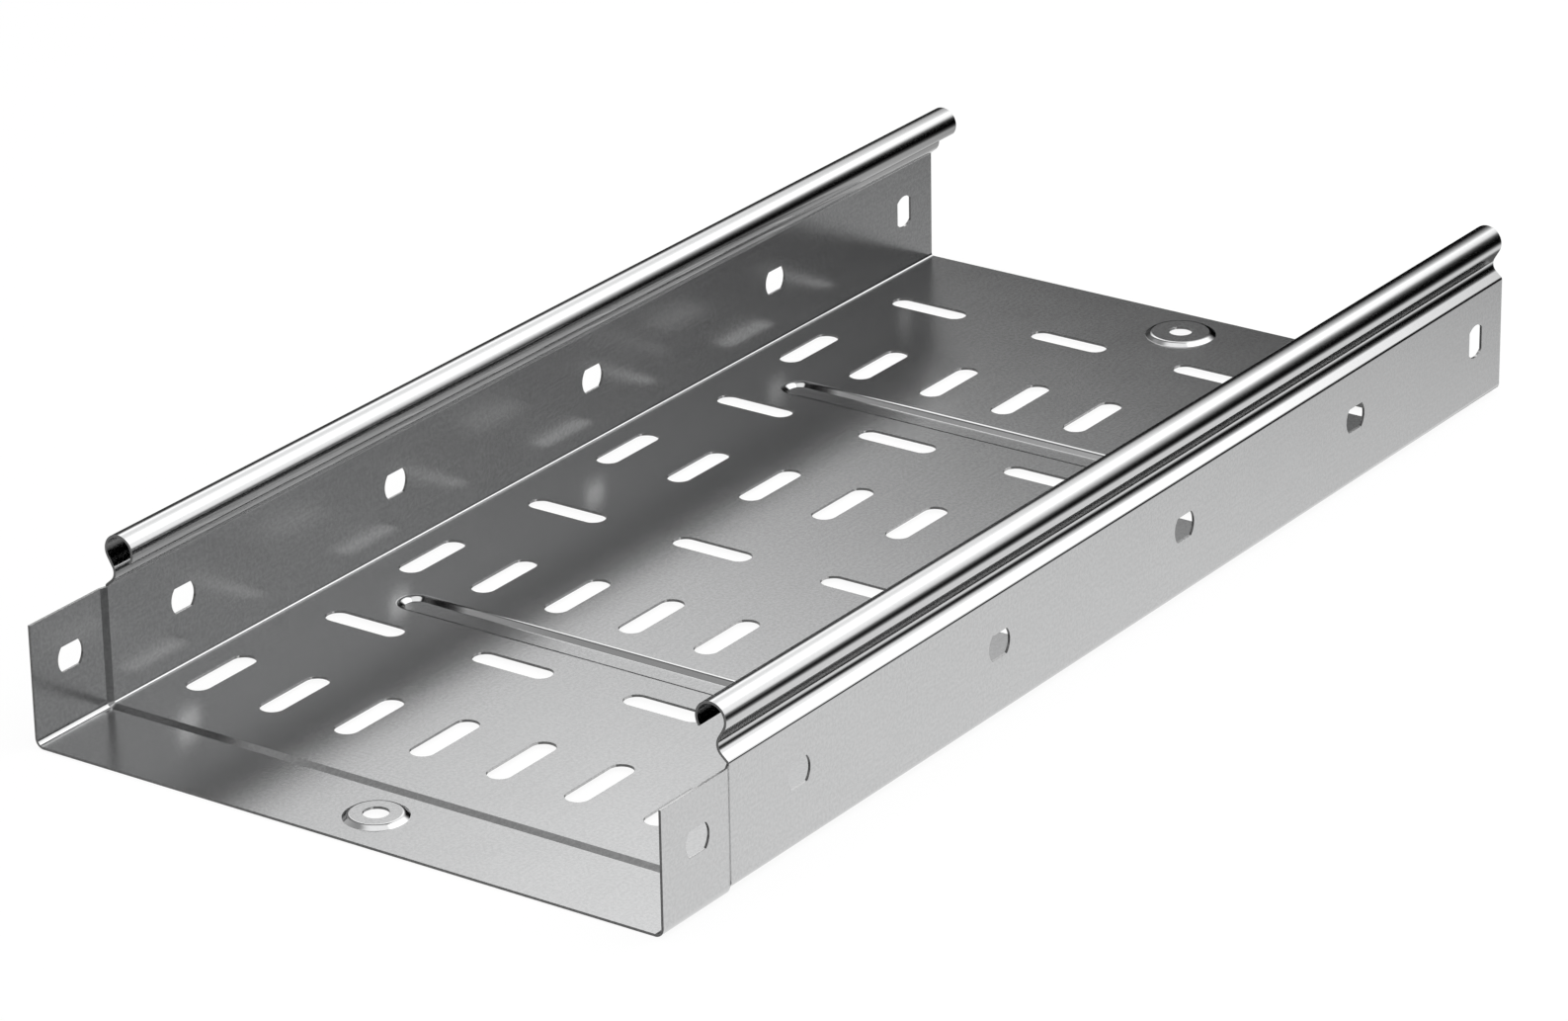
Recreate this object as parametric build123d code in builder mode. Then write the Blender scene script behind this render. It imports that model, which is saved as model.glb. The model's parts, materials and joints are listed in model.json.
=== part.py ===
# Perforated cable tray, one roll-formed piece of sheet steel, in millimetres.
# While it is drawn, x is 0 on the centreline, y runs along the tray from 0 at the
# socket end, and z is 0 on the underside of the main floor.
import math
import os

from build123d import *

# Sheet and overall sizes
sheet = 0.75
tray_width = 200.0
tray_length = 420.0

# Bends between floor and walls, inner radii
corner_radius = 0.8
socket_corner_radius = 2.0

# Rolled top edge: the wall steps in, turns back out and curls into a tube
wall_straight_top = 34.2
ledge_bend_radius = 0.3
ledge_angle = 41.0
ledge_straight = 2.15
neck_radius = 3.1
slope_angle = 60.0
slope_straight = 2.9
tube_diameter = 9.5
lip_angle = 38.0

# Socket end, pressed outwards so that the next tray slides in
main_start = 30.0
ramp_length = 2.0
socket_step = 0.9
socket_top = 34.0

# Slots in the floor
slot_width = 7.2
slot_length = 25.6
first_row = 60.0
row_pitch = 92.0
row_count = 4
long_slot_pitch = 25.0
long_slot_count = 8
cross_slot_pitch = 50.0
cross_slot_count = 4

# Holes in the walls, round with two flats
wall_hole_diameter = 10.0
wall_hole_flats = 7.2
wall_hole_height = 19.9
end_hole_inset = 15.0

# Raised seats round a bolt hole on the centreline, one at each end; their
# diameters are taken at the foot of the slope
seat_hole_diameter = 7.0
seat_height = 1.0
seat_slope = 35.0
seat_bend_radius = 1.0
socket_seat_diameter = 17.6
plain_seat_diameter = 21.0

# Sunk ribs across the floor, measured over the bends of their rims
rib_length = 155.0
rib_width = 11.0
rib_depth = 1.1
rib_slope = 35.0
rib_bend_radius = 1.8
rib_from_row = 64.6

# Values that follow from the ones above
half_width = tray_width / 2
half_sheet = sheet / 2
socket_end = main_start - ramp_length
plain_hole_y = tray_length - end_hole_inset
slot_rows = [first_row + row_pitch * i for i in range(row_count)]
cross_rows = [y + row_pitch / 2 for y in slot_rows]
rib_rows = [slot_rows[0] + rib_from_row, slot_rows[2] + rib_from_row]
rib_grow = sheet * math.tan(math.radians(rib_slope / 2))
rib_rim = (rib_bend_radius + sheet) * math.tan(math.radians(rib_slope / 2))
seat_grow = sheet * math.tan(math.radians(seat_slope / 2))


def open_section(step, radius, top):
    """Sheet section of floor and straight walls, pressed out by step."""
    side = half_width + step - sheet - radius
    with BuildLine() as outline:
        floor = Line((0, -step), (side, -step))
        bend = JernArc(start=floor @ 1, tangent=floor % 1, radius=radius + sheet, arc_size=90)
        wall = Line(bend @ 1, (half_width + step, top))
        rim = Line(wall @ 1, (half_width + step - sheet, top))
        inner_wall = Line(rim @ 1, (half_width + step - sheet, sheet - step + radius))
        inner_bend = JernArc(start=inner_wall @ 1, tangent=(0, -1), radius=radius, arc_size=-90)
        inner_floor = Line(inner_bend @ 1, (0, sheet - step))
        Line(inner_floor @ 1, (0, -step))
    make_face(outline.line.edges())
    mirror(about=Plane.YZ)


with BuildSketch() as wall_hole:
    Circle(wall_hole_diameter / 2)
    Rectangle(wall_hole_diameter, wall_hole_flats, mode=Mode.INTERSECT)

with BuildPart() as tray:
    # Main length: floor, walls and rolled edges, drawn along the middle of the sheet
    with BuildSketch(Plane.XZ.offset(-main_start)) as main_section:
        with BuildLine() as middle:
            floor = Line((0, half_sheet), (half_width - sheet - corner_radius, half_sheet))
            bend = JernArc(
                start=floor @ 1, tangent=floor % 1, radius=corner_radius + half_sheet, arc_size=90
            )
            wall = Line(bend @ 1, (half_width - half_sheet, wall_straight_top))
            ledge_bend = JernArc(
                start=wall @ 1,
                tangent=wall % 1,
                radius=ledge_bend_radius + half_sheet,
                arc_size=90 - ledge_angle,
            )
            ledge = PolarLine(ledge_bend @ 1, ledge_straight, direction=ledge_bend % 1)
            neck = JernArc(
                start=ledge @ 1,
                tangent=ledge % 1,
                radius=neck_radius + half_sheet,
                arc_size=-(180 - ledge_angle - slope_angle),
            )
            slope = PolarLine(neck @ 1, slope_straight, direction=neck % 1)
            JernArc(
                start=slope @ 1,
                tangent=slope % 1,
                radius=tube_diameter / 2 - half_sheet,
                arc_size=270 + lip_angle - slope_angle,
            )
        trace(line_width=sheet)
        mirror(about=Plane.YZ)
    extrude(amount=-(tray_length - main_start))

    # Socket end, and the short ramp that joins it to the main length
    with BuildSketch(Plane.XZ):
        open_section(socket_step, socket_corner_radius, socket_top)
    extrude(amount=-socket_end)
    with BuildSketch(Plane.XZ.offset(-socket_end)):
        open_section(socket_step, socket_corner_radius, socket_top)
    with BuildSketch(Plane.XZ.offset(-main_start)):
        open_section(0, corner_radius, wall_straight_top)
    loft(ruled=True)

    # Sunk ribs: body below the floor first, then the hollow above it.
    # Their rims are rounded, and the other bends stay creases.
    with BuildSketch(Plane.XY):
        with Locations(*[(0, y) for y in rib_rows]):
            SlotOverall(
                rib_length - 2 * (rib_rim - rib_grow), rib_width - 2 * (rib_rim - rib_grow)
            )
    extrude(amount=-rib_depth, taper=90 - rib_slope)
    with BuildSketch(Plane.XY.offset(sheet)):
        with Locations(*[(0, y) for y in rib_rows]):
            SlotOverall(rib_length - 2 * rib_rim, rib_width - 2 * rib_rim)
    extrude(amount=-rib_depth, taper=90 - rib_slope, mode=Mode.SUBTRACT)
    rim_edges = tray.edges(Select.LAST).group_by(Axis.Z)[-1]
    fillet(rim_edges, rib_bend_radius + sheet)

    # Raised seats: body above the floor first, then the hollow below it
    for seat_y, seat_diameter, floor_z in [
        (end_hole_inset, socket_seat_diameter, -socket_step),
        (plain_hole_y, plain_seat_diameter, 0),
    ]:
        with BuildSketch(Plane.XY.offset(floor_z + sheet)):
            with Locations((0, seat_y)):
                Circle(seat_diameter / 2)
        extrude(amount=seat_height, taper=90 - seat_slope)
        rim_edges = tray.edges(Select.LAST).group_by(Axis.Z)[-1]
        fillet(rim_edges, seat_bend_radius + sheet)
        with BuildSketch(Plane.XY.offset(floor_z)):
            with Locations((0, seat_y)):
                Circle(seat_diameter / 2 - seat_grow)
        extrude(amount=seat_height, taper=90 - seat_slope, mode=Mode.SUBTRACT)
        with Locations((0, seat_y, floor_z + sheet + seat_height)):
            Hole(seat_hole_diameter / 2, depth=2 * seat_height)

    # Floor slots, rows along the tray and rows across it in turn
    with BuildSketch(Plane.XY):
        for row_y in slot_rows:
            with Locations((0, row_y)):
                with GridLocations(long_slot_pitch, 1, long_slot_count, 1):
                    SlotOverall(slot_length, slot_width, rotation=90)
        for row_y in cross_rows:
            with Locations((0, row_y)):
                with GridLocations(cross_slot_pitch, 1, cross_slot_count, 1):
                    SlotOverall(slot_length, slot_width)
    extrude(amount=sheet, mode=Mode.SUBTRACT)

    # Wall holes, the same on both sides; the last pair stands upright
    with BuildSketch(Plane.YZ):
        with Locations(*[(y, wall_hole_height) for y in [end_hole_inset] + slot_rows]):
            add(wall_hole.sketch)
        with Locations((plain_hole_y, wall_hole_height)):
            add(wall_hole.sketch, rotation=90)
    extrude(amount=half_width + socket_step, both=True, mode=Mode.SUBTRACT)

os.makedirs("parts", exist_ok=True)
# The finished tray is centred on the origin and rests on z = 0
lowest = max(socket_step, rib_depth)
placed_tray = Pos(0, -tray_length / 2, lowest) * tray.part
placed_tray.label = "cable_tray"
export_step(placed_tray, "parts/cable_tray.step")
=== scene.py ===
# Perforated cable tray, roll-formed from one steel sheet, on a plain pale studio floor
import json
import math

import bmesh
import bpy
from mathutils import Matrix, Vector

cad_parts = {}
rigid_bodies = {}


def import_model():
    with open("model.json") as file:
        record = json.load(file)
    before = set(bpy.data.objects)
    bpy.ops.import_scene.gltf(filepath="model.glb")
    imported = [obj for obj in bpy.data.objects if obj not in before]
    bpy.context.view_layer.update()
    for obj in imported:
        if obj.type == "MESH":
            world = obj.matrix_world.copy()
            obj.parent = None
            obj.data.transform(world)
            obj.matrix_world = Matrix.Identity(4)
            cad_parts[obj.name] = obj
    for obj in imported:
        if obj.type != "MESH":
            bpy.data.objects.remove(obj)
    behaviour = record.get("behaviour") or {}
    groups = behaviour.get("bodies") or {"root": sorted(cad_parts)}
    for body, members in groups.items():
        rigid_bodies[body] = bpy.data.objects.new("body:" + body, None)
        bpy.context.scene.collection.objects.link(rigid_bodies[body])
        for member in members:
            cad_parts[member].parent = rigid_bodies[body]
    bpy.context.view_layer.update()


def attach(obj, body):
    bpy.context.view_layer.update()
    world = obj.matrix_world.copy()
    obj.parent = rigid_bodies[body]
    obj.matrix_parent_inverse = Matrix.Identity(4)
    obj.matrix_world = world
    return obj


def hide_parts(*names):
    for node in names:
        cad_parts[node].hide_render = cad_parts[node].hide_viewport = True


# the start-up cube, lamp and camera make room for the frame
bpy.ops.object.select_all(action="SELECT")
bpy.ops.object.delete()
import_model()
print("frame loaded")

mm = 0.001
same = 0.02 * mm  # two places closer than this count as one
weld = 0.005 * mm  # vertices closer than this are merged
far = 200 * mm  # past the walls and the top of the tray


def newPiece(name):
    # an empty mesh at the origin, left in edit mode
    bpy.ops.object.select_all(action="DESELECT")
    bpy.ops.mesh.primitive_plane_add(size=mm, location=(0, 0, 0))
    piece = bpy.context.active_object
    piece.name = name
    piece.data.name = name
    bpy.ops.object.mode_set(mode="EDIT")
    bpy.ops.mesh.delete(type="VERT")
    return piece


def pick(kind, test):
    # selects only the vertices, edges or faces that the test accepts
    bpy.ops.mesh.select_mode(type=kind)
    bpy.ops.mesh.select_all(action="DESELECT")
    mesh = bmesh.from_edit_mesh(bpy.context.edit_object.data)
    found = {"VERT": mesh.verts, "EDGE": mesh.edges, "FACE": mesh.faces}[kind]
    for part in found:
        if test(part):
            part.select_set(True)
    mesh.select_flush_mode()
    bmesh.update_edit_mesh(bpy.context.edit_object.data)


def within(edge, low, high):
    # both ends of the edge lie in this box
    return all(
        low[i] - same <= end.co[i] <= high[i] + same for end in edge.verts for i in range(3)
    )


def openEdges(low, high):
    # edges in the box that have no face on one side
    pick("EDGE", lambda edge: len(edge.link_faces) < 2 and within(edge, low, high))


def move(x=0, y=0, z=0):
    return {"value": (x, y, z)}


class EdgePath:
    # walks through one plane and leaves a chain of edges behind
    def __init__(self, start, first, second, heading=0):
        self.place = Vector(start)
        self.first = Vector(first)
        self.second = Vector(second)
        self.heading = heading
        bpy.ops.mesh.select_mode(type="VERT")
        bpy.ops.mesh.select_all(action="DESELECT")
        bpy.ops.mesh.primitive_plane_add(size=mm, location=self.place)
        bpy.ops.mesh.merge(type="CENTER")

    def direction(self, turned=0):
        angle = math.radians(self.heading + turned)
        return self.first * math.cos(angle) + self.second * math.sin(angle)

    def straight(self, length):
        step = self.direction() * length
        bpy.ops.mesh.extrude_vertices_move(TRANSFORM_OT_translate=move(*step))
        self.place += step
        return self

    def turn(self, angle):
        self.heading += angle
        return self

    def bend(self, radius, angle, steps):
        side = math.copysign(90, angle)
        centre = self.place + self.direction(side) * radius
        axis = self.second.cross(self.first)  # spin turns clockwise about its axis
        bpy.ops.mesh.spin(
            steps=steps, angle=math.radians(angle), center=centre, axis=axis, use_auto_merge=False
        )
        self.heading += angle
        self.place = centre - self.direction(side) * radius
        return self


tray = {
    "sheet": 0.75,
    "width": 200.0,
    "length": 420.0,
    "floorBottom": 1.1,  # underside of the main floor above the ground
    "cornerRadius": 0.8,
    "socketCornerRadius": 2.0,
    "wallTop": 34.2,
    "ledge": (0.3, 49.0, 2.15),  # bend radius, bend angle and straight part
    "neck": (3.1, 79.0, 2.9),
    "tube": (9.5, 248.0),  # outer diameter and how far it curls
    "mainStart": 30.0,
    "rampLength": 2.0,
    "socketStep": 0.9,
    "socketTop": 34.0,
    "hold": 0.12,  # narrow flat strip beside each bend, which keeps the flats flat
    "bendSteps": 10,
    "ledgeSteps": 6,
    "neckSteps": 16,
    "tubeSteps": 44,
    "leastFlat": 500,  # square millimetres, less than any flat of a wall
    "cutEdgeBevel": 0.05,
    "cutEdgeAngle": 60,  # degrees, between the sheet and its cut edges
    "smoothAngle": 20,
}
slots = {
    "width": 7.2,
    "length": 25.6,
    "firstRow": 60.0,
    "rowPitch": 92.0,
    "rows": 4,
    "longPitch": 25.0,
    "longCount": 8,
    "crossPitch": 50.0,
    "crossCount": 4,
    "arcSteps": 16,
}
wallHoles = {"diameter": 10.0, "flats": 7.2, "height": 19.9, "endInset": 15.0, "arcSteps": 10}
seats = {
    "hole": 7.0,
    "height": 1.0,
    "slope": 35.0,
    "bend": 1.0,
    "footBend": 0.2,
    "socketDiameter": 17.6,
    "plainDiameter": 21.0,
    "turnSteps": 64,
    "bendSteps": 6,
}
ribs = {
    "length": 155.0,
    "width": 11.0,
    "depth": 1.1,
    "slope": 35.0,
    "bend": 1.8,
    "footBend": 0.4,
    "fromRow": 64.6,
    "turnSteps": 32,
    "bendSteps": 6,
}

half = tray["sheet"] / 2
floorZ = tray["floorBottom"] + half  # middle of the sheet
socketZ = floorZ - tray["socketStep"]
wallX = tray["width"] / 2 - half
socketX = wallX + tray["socketStep"]
frontY = -tray["length"] / 2
backY = tray["length"] / 2
mainY = frontY + tray["mainStart"]
rampY = mainY - tray["rampLength"]
wallTopZ = tray["floorBottom"] + tray["wallTop"]
socketTopZ = tray["floorBottom"] + tray["socketTop"]
slotRows = [frontY + slots["firstRow"] + slots["rowPitch"] * i for i in range(slots["rows"])]
crossRows = [y + slots["rowPitch"] / 2 for y in slotRows]
ribRows = [slotRows[0] + ribs["fromRow"], slotRows[2] + ribs["fromRow"]]


def wallFold(wall, bottom, top, radius, y, length, withRoll=False):
    # right-hand fold: floor edge, corner bend, wall and, on the main length, the rolled edge
    hold = tray["hold"]
    bendRadius = radius + half
    path = EdgePath(
        ((wall - bendRadius - hold) * mm, y * mm, bottom * mm), (1, 0, 0), (0, 0, 1)
    )
    path.straight(hold * mm).bend(bendRadius * mm, 90, tray["bendSteps"]).straight(hold * mm)
    flat = top - bottom - bendRadius - 2 * hold
    path.straight(flat * mm).straight(hold * mm)
    if withRoll:
        ledgeRadius, ledgeAngle, ledgeLength = tray["ledge"]
        neckRadius, neckAngle, neckLength = tray["neck"]
        tubeDiameter, tubeAngle = tray["tube"]
        path.bend((ledgeRadius + half) * mm, ledgeAngle, tray["ledgeSteps"])
        path.straight(ledgeLength * mm)
        path.bend((neckRadius + half) * mm, -neckAngle, tray["neckSteps"])
        path.straight(neckLength * mm)
        path.bend((tubeDiameter / 2 - half) * mm, tubeAngle, tray["tubeSteps"])
    bpy.ops.mesh.select_linked()
    bpy.ops.mesh.extrude_region_move(TRANSFORM_OT_translate=move(y=length * mm))
    return path


piece = newPiece("tray_sheet")
rolled = wallFold(
    wallX, floorZ, wallTopZ, tray["cornerRadius"], mainY, tray["length"] - tray["mainStart"],
    withRoll=True,
)
wallFold(
    socketX, socketZ, socketTopZ, tray["socketCornerRadius"], frontY,
    tray["mainStart"] - tray["rampLength"],
)

# middle of the curl, for the finishes further down
rollRadius = tray["tube"][0] / 2 - half
rollCentre = rolled.place / mm + rolled.direction(90) * rollRadius

# the wall's flats are opened again, and are filled round their holes further down
leastFlat = tray["leastFlat"] * mm * mm
pick("FACE", lambda face: abs(face.normal.x) > 0.99 and face.calc_area() > leastFlat)
bpy.ops.mesh.delete(type="ONLY_FACE")

# short ramp from the socket to the main length
pick(
    "EDGE",
    lambda edge: within(edge, (0, rampY * mm, 0), (far, rampY * mm, far))
    or within(edge, (0, mainY * mm, 0), (far, mainY * mm, wallTopZ * mm)),
)
bpy.ops.mesh.bridge_edge_loops()

# the other wall
bpy.ops.mesh.select_all(action="SELECT")
bpy.ops.mesh.duplicate()
bpy.ops.transform.resize(value=(-1, 1, 1), center_override=(0, 0, 0))
print("walls and rolled edges folded")

# edges across the tray between the two folds, and the ramp's floor
mainFloorX = wallX - half - tray["cornerRadius"] - tray["hold"]
socketFloorX = socketX - half - tray["socketCornerRadius"] - tray["hold"]
for y, x, z in [
    (frontY, socketFloorX, socketZ),
    (rampY, socketFloorX, socketZ),
    (mainY, mainFloorX, floorZ),
    (backY, mainFloorX, floorZ),
]:
    pick(
        "VERT",
        lambda point: (
            Vector((abs(point.co.x), point.co.y, point.co.z)) - Vector((x, y, z)) * mm
        ).length < same,
    )
    bpy.ops.mesh.edge_face_add()
pick(
    "EDGE",
    lambda edge: abs(edge.verts[0].co.x + edge.verts[1].co.x) < same
    and (rampY - 1) * mm < edge.verts[0].co.y < (mainY + 1) * mm,
)
bpy.ops.mesh.bridge_edge_loops()


def pressProfile(centre, outward, reach, bends, slope, rise, steps):
    # profile of a pressing from the floor inwards, up where rise is above 0 and down below 0
    hold = tray["hold"]
    turned = -math.copysign(slope, rise)
    outer, inner = bends
    straight = abs(rise) - (outer + inner) * (1 - math.cos(math.radians(slope)))
    path = EdgePath(
        (Vector(centre) + Vector(outward) * (reach + hold)) * mm, outward, (0, 0, 1), 180
    )
    path.straight(hold * mm).bend(outer * mm, turned, steps)
    path.straight(straight / math.sin(math.radians(slope)) * mm)
    path.bend(inner * mm, -turned, steps).straight(hold * mm)
    return path


def addSeat(y, z, diameter):
    # raised seat with a bolt hole
    tangent = seats["footBend"] * math.tan(math.radians(seats["slope"] / 2))
    path = pressProfile(
        (0, y, z), (1, 0, 0), diameter / 2 + tangent,
        (seats["footBend"] + half, seats["bend"] + half),
        seats["slope"], seats["height"], seats["bendSteps"],
    )
    path.straight(path.place.x - seats["hole"] / 2 * mm)
    bpy.ops.mesh.select_linked()
    bpy.ops.mesh.spin(
        steps=seats["turnSteps"], angle=math.tau, center=(0, y * mm, 0), axis=(0, 0, 1)
    )


addSeat(frontY + wallHoles["endInset"], socketZ, seats["socketDiameter"])
addSeat(backY - wallHoles["endInset"], floorZ, seats["plainDiameter"])

# sunk ribs: half a turn at each end, joined by straight sides
ribEnd = (ribs["length"] - ribs["width"]) / 2
for y in ribRows:
    pressProfile(
        (ribEnd, y, floorZ), (0, -1, 0), ribs["width"] / 2,
        (ribs["bend"] + half, ribs["footBend"] + half),
        ribs["slope"], -ribs["depth"], ribs["bendSteps"],
    )
    bpy.ops.mesh.select_linked()
    for x in (ribEnd, -ribEnd):
        bpy.ops.mesh.spin(
            steps=ribs["turnSteps"], angle=math.pi, center=(x * mm, y * mm, 0), axis=(0, 0, -1)
        )
        bpy.ops.mesh.extrude_region_move(TRANSFORM_OT_translate=move(x=-2 * x * mm))
bpy.ops.mesh.select_all(action="SELECT")
bpy.ops.mesh.remove_doubles(threshold=weld)
# the bottom of each rib is closed
ribZ = floorZ - ribs["depth"]
for y in ribRows:
    openEdges(
        (-far, (y - ribs["width"]) * mm, ribZ * mm), (far, (y + ribs["width"]) * mm, ribZ * mm)
    )
    bpy.ops.mesh.edge_face_add()
print("seats and ribs pressed")


def outline(steps, centre, first, second, length, width, diameter=None):
    # slot with round ends, or a round hole with two flats when a diameter is given
    radius = (diameter or width) / 2
    arc = 2 * math.degrees(math.asin(width / 2 / radius))
    side = 2 * radius * math.cos(math.radians(arc / 2)) if diameter else length - width
    corner = 90 - arc / 2
    start = Vector(centre) - Vector(first) * side / 2 - Vector(second) * width / 2
    path = EdgePath(start * mm, first, second)
    for _ in range(2):
        path.straight(side * mm).turn(corner).bend(radius * mm, arc, steps).turn(corner)
    bpy.ops.mesh.select_linked()
    bpy.ops.mesh.remove_doubles(threshold=weld)
    bpy.ops.mesh.select_linked()


def spread(places):
    # copies the selected outline from the first place to each of the others
    for before, after in zip(places, places[1:]):
        step = (Vector(after) - Vector(before)) * mm
        bpy.ops.mesh.duplicate_move(TRANSFORM_OT_translate=move(*step))


def across(count, pitch):
    return [(i - (count - 1) / 2) * pitch for i in range(count)]


longPlaces = [
    (x, y, floorZ) for y in slotRows for x in across(slots["longCount"], slots["longPitch"])
]
crossPlaces = [
    (x, y, floorZ) for y in crossRows for x in across(slots["crossCount"], slots["crossPitch"])
]
outline(slots["arcSteps"], longPlaces[0], (0, 1, 0), (-1, 0, 0), slots["length"], slots["width"])
spread(longPlaces)
outline(slots["arcSteps"], crossPlaces[0], (1, 0, 0), (0, 1, 0), slots["length"], slots["width"])
spread(crossPlaces)
holeZ = tray["floorBottom"] + wallHoles["height"]
for side in (1, -1):
    lyingPlaces = [(side * wallX, y, holeZ) for y in slotRows]
    for place, first, second in [
        (lyingPlaces[0], (0, 1, 0), (0, 0, 1)),
        ((side * socketX, frontY + wallHoles["endInset"], holeZ), (0, 1, 0), (0, 0, 1)),
        ((side * wallX, backY - wallHoles["endInset"], holeZ), (0, 0, 1), (0, -1, 0)),
    ]:
        outline(
            wallHoles["arcSteps"], place, first, second, 0, wallHoles["flats"],
            wallHoles["diameter"],
        )
        if place == lyingPlaces[0]:
            spread(lyingPlaces)

# the flats are filled round every opening
hold = tray["hold"]
openEdges(
    (-mainFloorX * mm, mainY * mm, floorZ * mm), (mainFloorX * mm, backY * mm, floorZ * mm)
)
bpy.ops.mesh.fill(use_beauty=True)
openEdges(
    (-socketFloorX * mm, frontY * mm, socketZ * mm), (socketFloorX * mm, rampY * mm, socketZ * mm)
)
bpy.ops.mesh.fill(use_beauty=True)
for side in (1, -1):
    for x, low, top, y0, y1 in [
        (wallX, floorZ + half + tray["cornerRadius"] + hold, wallTopZ - hold, mainY, backY),
        (
            socketX, socketZ + half + tray["socketCornerRadius"] + hold, socketTopZ - hold,
            frontY, rampY,
        ),
    ]:
        openEdges((side * x * mm, y0 * mm, low * mm), (side * x * mm, y1 * mm, top * mm))
        bpy.ops.mesh.fill(use_beauty=True)
print("floor slots and wall holes cut")

# one slot each for the flats and bends outside, their cut edges, and the flats and bends inside,
# whose flats carry painted shade; the faces of the last four, which carry painted shade too, are
# picked once the sheet has its thickness
slotOrder = [
    "sheetSteel", "rolledSteel", "cutSteel", "cutSteel", "insidePaintedShadeSteel", "rolledSteel",
    "hollowPaintedShadeSteel", "innerWallPaintedShadeSteel", "underRollPaintedShadeSteel", "nearCutPaintedShadeSteel",
]
cutSlots = [i for i, name in enumerate(slotOrder) if name == "cutSteel"]
insideShift = slotOrder.index("insidePaintedShadeSteel")
bpy.ops.mesh.select_all(action="SELECT")
bpy.ops.mesh.remove_doubles(threshold=weld)
bpy.ops.mesh.normals_make_consistent(inside=False)
for _ in slotOrder:
    bpy.ops.object.material_slot_add()


facing = {  # parts of a face's normal
    "flat": 0.99999,
    "wall": 0.9,
    "cut": 0.5,
    "nearCut": 0.6,
    "down": 0.15,
}
margins = {
    "ramp": 0.1,  # millimetres
    "inCurl": 0.8,  # half sheets inside the middle of the curl's sheet
    "pastCurl": 1.1,
    "innerWall": 1.0,  # millimetres
}


def isBent(face):
    # bends, pressings and the rolled edge, but not the ramp
    centre = face.calc_center_median() / mm
    onRamp = rampY - margins["ramp"] < centre.y < mainY + margins["ramp"] and len(face.verts) == 4
    level = max(abs(face.normal.x), abs(face.normal.z)) > facing["flat"]
    return centre.z > wallTopZ or (not level and not onRamp)


pick("FACE", isBent)
piece.active_material_index = slotOrder.index("rolledSteel")
bpy.ops.object.material_slot_assign()
bpy.ops.object.mode_set(mode="OBJECT")


def useModifier(kind, **settings):
    modifier = piece.modifiers.new(kind.title(), kind)
    for name, value in settings.items():
        setattr(modifier, name, value)
    bpy.ops.object.modifier_apply(modifier=modifier.name)


useModifier(
    "SOLIDIFY", thickness=tray["sheet"] * mm, offset=0, use_even_offset=True,
    material_offset_rim=cutSlots[0], material_offset=insideShift,
)
useModifier(
    "BEVEL", width=tray["cutEdgeBevel"] * mm, segments=2, limit_method="ANGLE",
    angle_limit=math.radians(tray["cutEdgeAngle"]), use_clamp_overlap=True,
)
bpy.ops.object.shade_smooth_by_angle(angle=math.radians(tray["smoothAngle"]))
useModifier("WEIGHTED_NORMAL", weight=100, keep_sharp=True)  # flats stay flat up to their edges


def rollPlace(face):
    # height, distance from the middle of the curl, and how far the face looks outwards
    centre = face.calc_center_median() / mm
    distance = Vector((abs(centre.x) - rollCentre.x, centre.z - rollCentre.z)).length
    outward = math.copysign(face.normal.x, face.normal.x * centre.x)
    return centre.z, distance, outward


def inRoll(face):
    # inside the rolled edge, and in the hollow below it; these faces get painted shade
    height, distance, outward = rollPlace(face)
    if height < wallTopZ or abs(face.normal.y) > facing["cut"]:
        return False
    if distance < rollRadius - margins["inCurl"] * half:
        return True
    looksDown = face.normal.z < -facing["down"]
    return outward > 0 and looksDown and distance > rollRadius + margins["pastCurl"] * half


def underRoll(face):
    # the rolled edge's underside, towards the cables, which gets painted shade
    height, distance, outward = rollPlace(face)
    outside = height > wallTopZ and distance > rollRadius
    isCut = abs(face.normal.y) >= facing["cut"]
    return outside and outward < 0 and face.normal.z < facing["down"] and not isCut


def onInnerWall(face):
    # the side of the walls towards the cables, which gets painted shade
    centre = face.calc_center_median() / mm
    inwards = -math.copysign(face.normal.x, face.normal.x * centre.x)
    nearWall = abs(centre.x) < wallX + margins["innerWall"]
    return inwards > facing["wall"] and nearWall and centre.z < wallTopZ


def onNearCut(face):
    # cut edges that face the socket end, which get painted shade
    return face.material_index in cutSlots and face.normal.y < -facing["nearCut"]


bpy.ops.object.mode_set(mode="EDIT")
for name, test in [
    ("hollowPaintedShadeSteel", inRoll),
    ("innerWallPaintedShadeSteel", onInnerWall),
    ("underRollPaintedShadeSteel", underRoll),
    ("nearCutPaintedShadeSteel", onNearCut),
]:
    pick("FACE", test)
    piece.active_material_index = slotOrder.index(name)
    bpy.ops.object.material_slot_assign()
bpy.ops.object.mode_set(mode="OBJECT")
print("sheet given its thickness:", len(piece.data.polygons), "faces")


class Socket:
    # wraps a shader socket, so that maths on it adds the nodes
    def __init__(self, tree, output):
        self.tree = tree
        self.output = output

    def maths(self, operation, *values):
        return self.tree.node("ShaderNodeMath", {"operation": operation}, values)

    def __add__(self, other):
        return self.maths("ADD", self, other)

    def __radd__(self, other):
        return self.maths("ADD", other, self)

    def __sub__(self, other):
        return self.maths("SUBTRACT", self, other)

    def __rsub__(self, other):
        return self.maths("SUBTRACT", other, self)

    def __mul__(self, other):
        return self.maths("MULTIPLY", self, other)

    def __rmul__(self, other):
        return self.maths("MULTIPLY", other, self)

    def __truediv__(self, other):
        return self.maths("DIVIDE", self, other)

    def __pow__(self, other):
        return self.maths("POWER", self, other)


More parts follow.
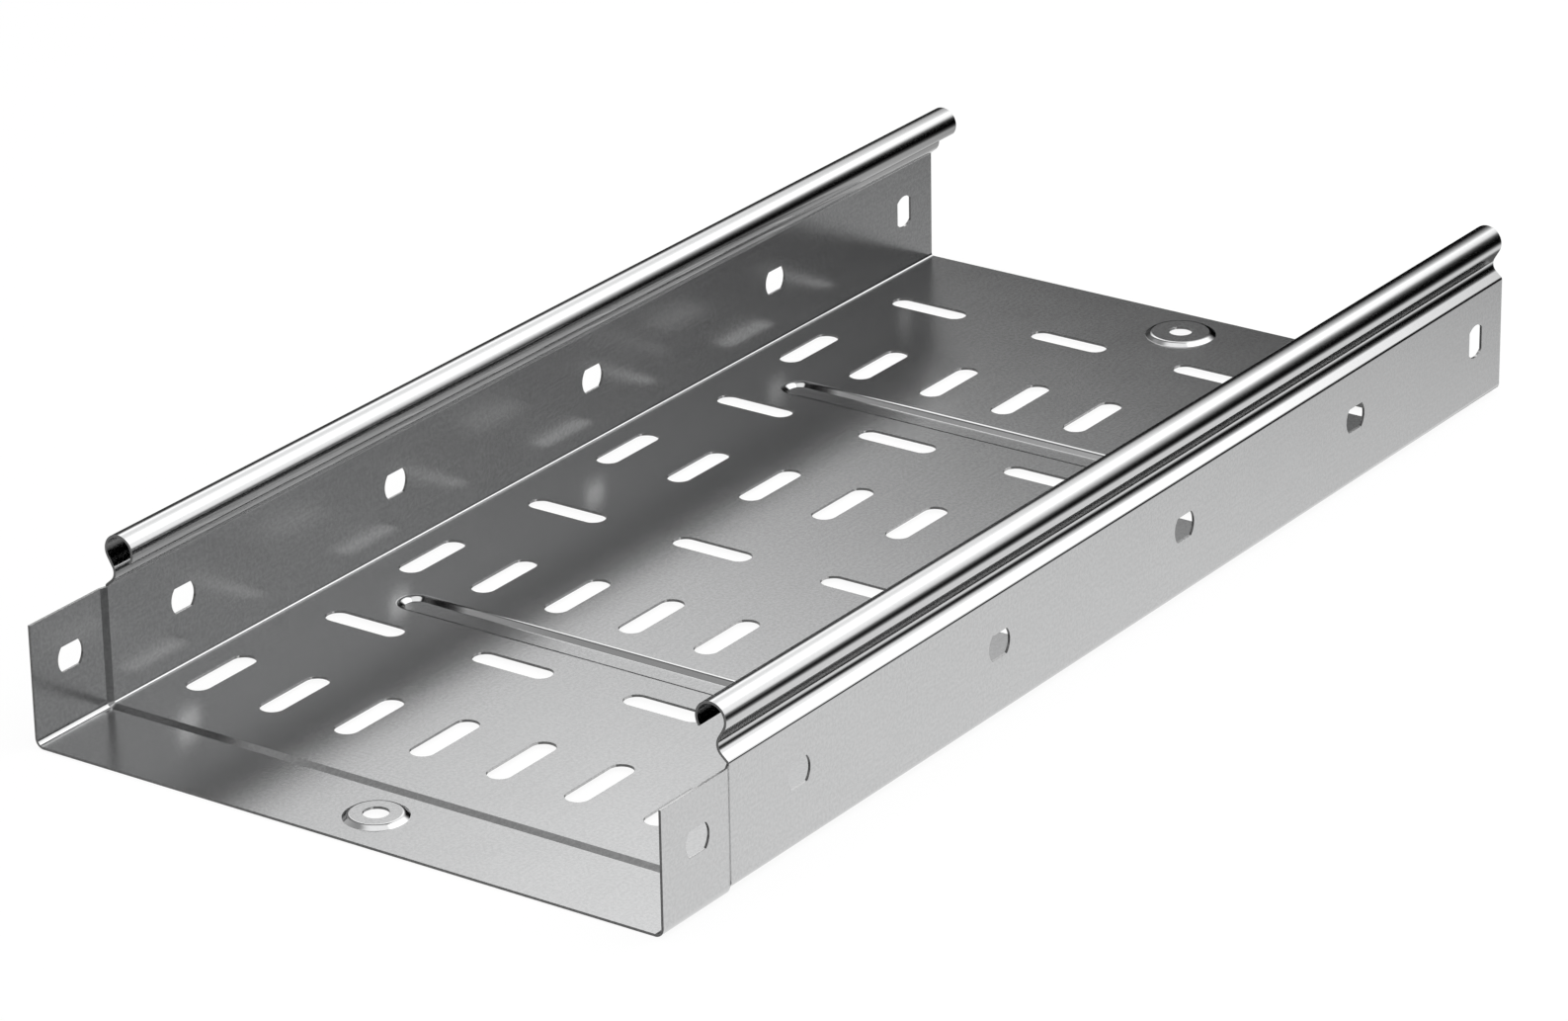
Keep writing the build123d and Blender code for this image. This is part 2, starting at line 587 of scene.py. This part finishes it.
class NodeTree:
    # adds nodes to a material or world by type, settings and socket values
    def __init__(self, owner):
        owner.use_nodes = True
        self.nodes = owner.node_tree.nodes
        self.links = owner.node_tree.links
        self.nodes.clear()

    def node(self, kind, settings=None, values=(), output=0):
        made = self.nodes.new(kind)
        for name, value in (settings or {}).items():
            if name == "stops":
                ramp = made.color_ramp
                while len(ramp.elements) < len(value):
                    ramp.elements.new(0.5)
                for element, (place, level) in zip(ramp.elements, value):
                    element.position = place
                    element.color = (level, level, level, 1)
            else:
                setattr(made, name, value)
        pairs = values.items() if isinstance(values, dict) else enumerate(values)
        for key, value in pairs:
            if isinstance(value, Socket):
                self.links.new(value.output, made.inputs[key])
            else:
                made.inputs[key].default_value = value
        return Socket(self, made.outputs[output]) if made.outputs else None


# the flats towards the cables, the rolled edge's underside and hollow, and the near cut edges carry
# painted shade: they are darker than the outside, which is how they look in a very bright studio
finishes = {
    "sheetSteel": {
        "colour": (0.6, 0.602, 0.604),
        "darkColour": (0.54, 0.542, 0.544),
        "roughness": 0.22,
        "cloud": 0.03,  # slow change of roughness, over about 20 mm
        "grain": 0.05,  # quick change of roughness, over under 1 mm
        "bump": 0.03,
    },
    # painted shade: the flats towards the cables are darker than the same steel outside
    "insidePaintedShadeSteel": {
        "colour": (0.45, 0.452, 0.454),
        "darkColour": (0.39, 0.392, 0.394),
        "roughness": 0.21,
        "cloud": 0.03,
        "grain": 0.05,
        "bump": 0.04,
    },
    # painted shade: the walls' sides towards the cables, darker still
    "innerWallPaintedShadeSteel": {
        "colour": (0.285, 0.287, 0.289),
        "darkColour": (0.235, 0.237, 0.239),
        "roughness": 0.21,
        "cloud": 0.03,
        "grain": 0.05,
        "bump": 0.04,
    },
    "rolledSteel": {
        "colour": (0.575, 0.577, 0.579),
        "darkColour": (0.56, 0.562, 0.564),
        "roughness": 0.12,
        "cloud": 0.02,
        "grain": 0.02,
        "bump": 0.01,
    },
    # painted shade: inside the rolled edge and in the hollow below it, nearly black
    "hollowPaintedShadeSteel": {
        "colour": (0.15, 0.15, 0.15),
        "darkColour": (0.13, 0.13, 0.13),
        "roughness": 0.2,
        "cloud": 0.04,
        "grain": 0.05,
        "bump": 0.03,
    },
    # painted shade: the rolled edge's underside, darker than the rolled steel above
    "underRollPaintedShadeSteel": {
        "colour": (0.29, 0.29, 0.29),
        "darkColour": (0.28, 0.28, 0.28),
        "roughness": 0.12,
        "cloud": 0.02,
        "grain": 0.02,
        "bump": 0.01,
    },
    "cutSteel": {
        "colour": (0.55, 0.55, 0.55),
        "darkColour": (0.45, 0.45, 0.45),
        "roughness": 0.26,
        "cloud": 0.05,
        "grain": 0.08,
        "bump": 0.06,
    },
}
# painted shade: the cut edges that face the socket end are darker than the other cut edges
finishes["nearCutPaintedShadeSteel"] = dict(
    finishes["cutSteel"], colour=(0.17, 0.17, 0.17), darkColour=(0.13, 0.13, 0.13)
)
texture = {
    "grainScale": 1100.0,  # noise cells per metre
    "lineScale": 2200.0,
    "lineStretch": 30.0,
    "cloudScale": 45.0,
    "grainShare": 0.75,
    "shadeRange": (0.4, 0.6),  # part of the noise over which the dark colour gives way
    "bumpDepth": 0.02,
}


def steelMaterial(name, finish):
    material = bpy.data.materials.new(name)
    tree = NodeTree(material)
    place = tree.node("ShaderNodeTexCoord", output="Object")
    # rolling lines run along the tray
    along = tree.node(
        "ShaderNodeMapping", {"vector_type": "TEXTURE"},
        {"Vector": place, "Scale": (1.0, texture["lineStretch"], 1.0)},
    )

    def noise(vector, scale, detail):
        return tree.node(
            "ShaderNodeTexNoise", values={"Vector": vector, "Scale": scale, "Detail": detail}
        )

    grain = noise(place, texture["grainScale"], 2.0)
    lines = noise(along, texture["lineScale"], 1.0)
    cloud = noise(place, texture["cloudScale"], 2.0)
    mixed = grain * texture["grainShare"] + lines * (1 - texture["grainShare"])
    roughness = (
        finish["roughness"] + (mixed - 0.5) * finish["grain"] + (cloud - 0.5) * finish["cloud"]
    )
    low, high = texture["shadeRange"]
    shade = tree.node(
        "ShaderNodeMapRange", values={"Value": mixed, "From Min": low, "From Max": high}
    )
    # the colour mix has its factor at socket 0, its two colours at 6 and 7 and its result at 2
    colour = tree.node(
        "ShaderNodeMix", {"data_type": "RGBA"},
        {0: shade, 6: (*finish["darkColour"], 1), 7: (*finish["colour"], 1)}, output=2,
    )
    bumped = tree.node(
        "ShaderNodeBump",
        values={"Strength": finish["bump"], "Distance": texture["bumpDepth"] * mm, "Height": mixed},
    )
    surface = tree.node(
        "ShaderNodeBsdfPrincipled",
        values={"Base Color": colour, "Metallic": 1.0, "Roughness": roughness, "Normal": bumped},
    )
    tree.node("ShaderNodeOutputMaterial", values={"Surface": surface})
    return material


steels = {name: steelMaterial(name, finish) for name, finish in finishes.items()}
for slot, name in zip(piece.material_slots, slotOrder):
    slot.material = steels[name]
print("finishes made")

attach(piece, "root")
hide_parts("cable_tray")


studio = {
    "floorSize": 3.9,  # metres; its corners reach past the light tent, its sides don't
    "floorDrop": 0.1,  # millimetres below the tray
    "floorColour": (0.9, 0.9, 0.9, 1),
    "floorGlow": 0.93,  # share of plain white in the floor as the camera sees it
    "white": (1, 1, 1, 1),
}
bpy.ops.mesh.primitive_plane_add(
    size=studio["floorSize"], location=(0, 0, -studio["floorDrop"] * mm)
)
floor = bpy.context.active_object
floor.name = "studioFloor"
material = bpy.data.materials.new("paleFloor")
tree = NodeTree(material)
seen, glossy, through = [
    tree.node("ShaderNodeLightPath", output=name)
    for name in ("Is Camera Ray", "Is Glossy Ray", "Is Transmission Ray")
]
pale = tree.node("ShaderNodeBsdfDiffuse", values={"Color": studio["floorColour"]})
white = tree.node("ShaderNodeEmission", values={"Color": studio["white"], "Strength": 1.0})
clear = tree.node("ShaderNodeBsdfTransparent")
shown = tree.node("ShaderNodeMixShader", values=(seen * studio["floorGlow"], pale, white))
# reflections look through the floor to the lower half of the tent
passed = tree.node("ShaderNodeMixShader", values=(glossy + through, shown, clear))
tree.node("ShaderNodeOutputMaterial", values={"Surface": passed})
floor.data.materials.append(material)

# A light tent stands round the tray and shows only in its reflections. Its directions are
# parts of its radius: sideways, lengthways and upwards. Turn goes round the tray's long axis:
# 0 to the right, a quarter straight up, a half to the left.
lightTent = {
    "radius": 2.0,
    "segments": 64,
    "rings": 32,
    "boxLevel": 2.2,
    "boxes": [  # brightness of the light boxes against turn
        (0.0, 0.01), (0.033, 0.15), (0.056, 0.64), (0.078, 0.68), (0.1, 0.65), (0.125, 0.69),
        (0.15, 0.9), (0.167, 1.0), (0.236, 0.95), (0.278, 0.64), (0.311, 0.56), (0.344, 0.63),
        (0.378, 0.886), (0.406, 0.44), (0.425, 0.03), (0.444, 0.027), (0.478, 0.035),
    ],
    "reach": [  # where the boxes end lengthways, against turn
        (0.0, 0.739), (0.056, 0.742), (0.097, 0.787), (0.139, 0.852), (0.236, 0.904),
        (0.333, 0.839), (0.403, 0.774), (0.444, 0.814),
    ],
    "farSoftness": 0.102,
    "farPower": 1.7,
    "start": [(0.21, 0.1), (0.28, 0.44)],  # where the boxes begin lengthways, against turn
    "nearSoftness": 0.14,
    "fill": [  # plain soft light against height
        (0.0, 0.7), (0.35, 0.8), (0.6, 0.6), (0.78, 0.46), (0.85, 0.46), (0.92, 1.0), (1.0, 1.0),
    ],
    "crown": (0.88, 0.97),  # the very top is half as bright again
    "crownGain": 0.5,
    "ahead": [  # how the fill ends lengthways, from 0 at the front to 1 at the back
        (0.0, 1.0), (0.6, 0.9), (0.64, 0.4), (0.71, 0.3), (0.76, 0.1), (0.79, 0.0),
    ],
    "horizon": (-0.02, 0.06),
    "groundLevel": 0.98,
    "ground": [  # light from below, behind the tray, against depth
        (0.0, 0.0), (0.12, 0.01), (0.2, 0.12), (0.26, 0.36), (0.31, 0.7), (0.35, 0.9), (0.4, 1.0),
    ],
    "nearGroundLevel": 0.8,
    "nearGround": (0.0, 0.2),
    "behind": (0.25, 0.6),
    "gap": (0.83, 0.87),  # dark gap straight behind, which draws the line of the socket joint
    "gapSide": (-0.3, -0.1),
}
bpy.ops.mesh.primitive_uv_sphere_add(
    segments=lightTent["segments"], ring_count=lightTent["rings"], radius=lightTent["radius"],
    location=(0, 0, 0),
)
tent = bpy.context.active_object
tent.name = "lightTent"
tent.visible_camera = False
material = bpy.data.materials.new("tentCloth")
tent.data.materials.append(material)
tree = NodeTree(material)
place = tree.node("ShaderNodeTexCoord", output="Object")
direction = tree.node("ShaderNodeVectorMath", {"operation": "NORMALIZE"}, (place,))
sideways, lengthways, upwards = [
    tree.node("ShaderNodeSeparateXYZ", values=(direction,), output=axis) for axis in "XYZ"
]


def ramp(value, stops):
    return tree.node("ShaderNodeValToRGB", {"stops": stops}, (value,))


def fade(value, low, high):
    # 0 at low and 1 at high, with soft ends
    return tree.node(
        "ShaderNodeMapRange", {"interpolation_type": "SMOOTHSTEP"},
        {"Value": value, "From Min": low, "From Max": high, "To Min": 0.0, "To Max": 1.0},
    )


turn = tree.node("ShaderNodeMath", {"operation": "ARCTAN2"}, (upwards, sideways)) / math.tau
boxes = ramp(turn, lightTent["boxes"])
reach = ramp(turn, lightTent["reach"])
soft = lightTent["farSoftness"]
farEdge = fade(reach - lengthways, -soft, soft) ** lightTent["farPower"]
start = ramp(turn, lightTent["start"])
nearEdge = fade(lengthways - start, 0.0, lightTent["nearSoftness"])
overhead = boxes * farEdge * nearEdge * lightTent["boxLevel"]
crown = 1 + lightTent["crownGain"] * fade(upwards, *lightTent["crown"])
fill = ramp(upwards, lightTent["fill"]) * crown
ahead = ramp(lengthways * 0.5 + 0.5, lightTent["ahead"])
above = fade(upwards, *lightTent["horizon"])
downwards = upwards * -1
ground = ramp(downwards, lightTent["ground"])
nearGround = fade(downwards, *lightTent["nearGround"]) * lightTent["nearGroundLevel"]
behind = fade(lengthways, *lightTent["behind"])
gap = fade(lengthways, *lightTent["gap"]) * fade(sideways * -1, *lightTent["gapSide"])
below = ground * behind * (1 - gap) + nearGround * (1 - behind)
level = overhead + fill * ahead * above + below * lightTent["groundLevel"]
glow = tree.node("ShaderNodeEmission", values={"Color": level, "Strength": 1.0})
tree.node("ShaderNodeOutputMaterial", values={"Surface": glow})

world = bpy.data.worlds.new("plainWhite")
bpy.context.scene.world = world
tree = NodeTree(world)
backdrop = tree.node("ShaderNodeLightPath", output="Is Camera Ray")
background = tree.node(
    "ShaderNodeBackground", values={"Color": studio["white"], "Strength": backdrop}
)
tree.node("ShaderNodeOutputWorld", values={"Surface": background})

# one soft lamp above, which doesn't show in the steel
softLamp = {
    "place": (0.3, 0.1, 1.6),
    "tilt": 10,  # degrees
    "size": (1.4, 1.8),
    "power": 12.0,
}
bpy.ops.object.light_add(
    type="AREA", location=softLamp["place"], rotation=(0, math.radians(softLamp["tilt"]), 0)
)
lamp = bpy.context.active_object
lamp.data.shape = "RECTANGLE"
lamp.data.size, lamp.data.size_y = softLamp["size"]
lamp.data.energy = softLamp["power"]
lamp.visible_glossy = False

view = {
    "place": (0.94511, -1.35528, 0.72399),
    "turn": (66.775, 0.888, 34.761),  # degrees
    "lens": 149.62,
    "sensor": 36,
}
bpy.ops.object.camera_add(
    location=view["place"], rotation=[math.radians(angle) for angle in view["turn"]]
)
camera = bpy.context.active_object
camera.data.lens = view["lens"]
camera.data.sensor_fit = "HORIZONTAL"
camera.data.sensor_width = view["sensor"]
bpy.context.scene.camera = camera
bpy.context.scene.view_settings.view_transform = "Standard"
print("floor, light and camera placed")
